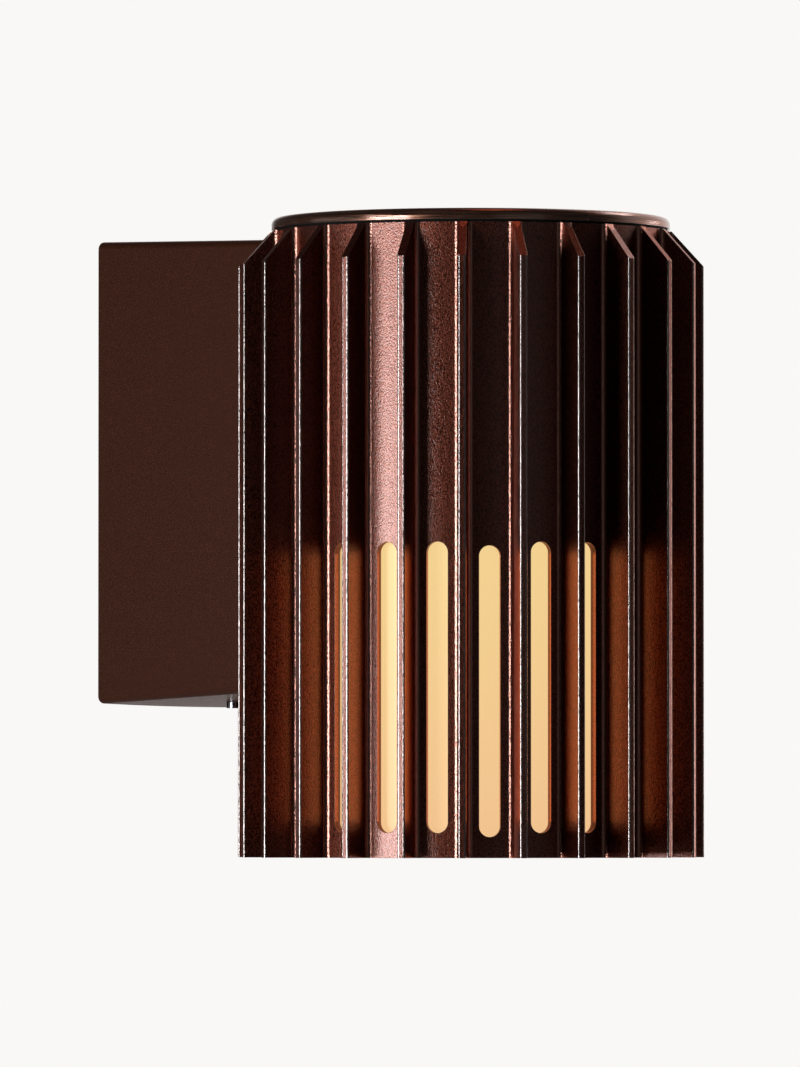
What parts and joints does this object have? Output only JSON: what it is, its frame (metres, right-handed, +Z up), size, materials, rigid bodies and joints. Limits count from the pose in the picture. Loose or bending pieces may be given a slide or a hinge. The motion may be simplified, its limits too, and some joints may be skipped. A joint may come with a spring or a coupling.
{
  "type": "outdoor wall light",
  "caption": "Outdoor wall light: finned, slotted round metal shade with opal diffuser and flat cap, carried by a hollow drafted wall box.",
  "frame": {"origin": "centre of the wall bracket's slot pattern on the wall plane, which is the centre of the box's back", "axes": "+Y into the wall, -Y out to the front, +Z up, +X to the right as seen from the front"},
  "size_m": [0.1192, 0.1736, 0.1645],
  "materials": {
    "brown_coating": "satin metallic powder coating, brown",
    "zinc_steel": "zinc plated sheet steel",
    "black_steel": "black oxide steel",
    "stainless": "bright stainless steel",
    "black_rubber": "matte EPDM rubber",
    "grey_silicone": "matte silicone rubber",
    "white_polyamide": "matte natural polyamide",
    "black_plastic": "matte heat-proof plastic",
    "brass": "plain brass",
    "aluminium": "bare aluminium",
    "nickel": "nickel plated",
    "opal_plastic": "opal, satin, lit from within",
    "white_plastic": "semi-gloss",
    "lamp_opal": "opal, lit",
    "lead_brown": "PVC insulation",
    "lead_blue": "PVC insulation",
    "lead_green_yellow": "PVC insulation"
  },
  "bodies": {
    "fixture": {"wall_bracket": "zinc_steel", "wall_gasket": "black_rubber", "cable_grommet": "black_rubber", "wall_box": "brown_coating", "box_grub_screws": "black_steel", "terminal_block": "white_polyamide", "terminal_screws": "stainless", "terminal_fixing_screws": "stainless", "earth_screw": "stainless", "earth_lug": "nickel", "lead_live": "lead_brown", "lead_neutral": "lead_blue", "lead_earth": "lead_green_yellow", "lead_bush": "black_rubber", "saddle_gasket": "black_rubber", "saddle_screws": "stainless", "finned_shade": "brown_coating", "top_cap": "brown_coating", "cap_gasket": "black_rubber", "holder_plate": "aluminium", "holder_gasket": "grey_silicone", "holder_plate_screws": "stainless", "lampholder_shell": "black_plastic", "lampholder_thread": "nickel", "lampholder_contact": "brass", "lampholder_screws": "stainless", "diffuser_seal": "grey_silicone"},
    "diffuser": {"diffuser_cup": "opal_plastic"},
    "lamp_travel": {"lamp_contact": "brass"},
    "lamp": {"lamp_cap": "nickel", "lamp_insulator": "black_plastic", "lamp_housing": "white_plastic", "lamp_board": "aluminium", "lamp_globe": "lamp_opal"}
  },
  "joints": [
    {"name": "diffuser_drop", "type": "slide", "parent": "fixture", "child": "diffuser", "axis": [0, 0, -1], "range_m": [0, 0.15]},
    {"name": "lamp_advance", "type": "slide", "parent": "fixture", "child": "lamp_travel", "axis": [0, 0, -1], "range_m": [0, 0.01453]},
    {"name": "lamp_turn", "type": "hinge", "parent": "lamp_travel", "child": "lamp", "pos_m": [0, -0.114, -0.0213], "axis": [0, 0, -1], "range_deg": [0, 1440]}
  ],
  "couplings": [
    {"joint": "lamp_advance", "follows": "lamp_turn", "m_per_rad": 0.00057757}
  ]
}
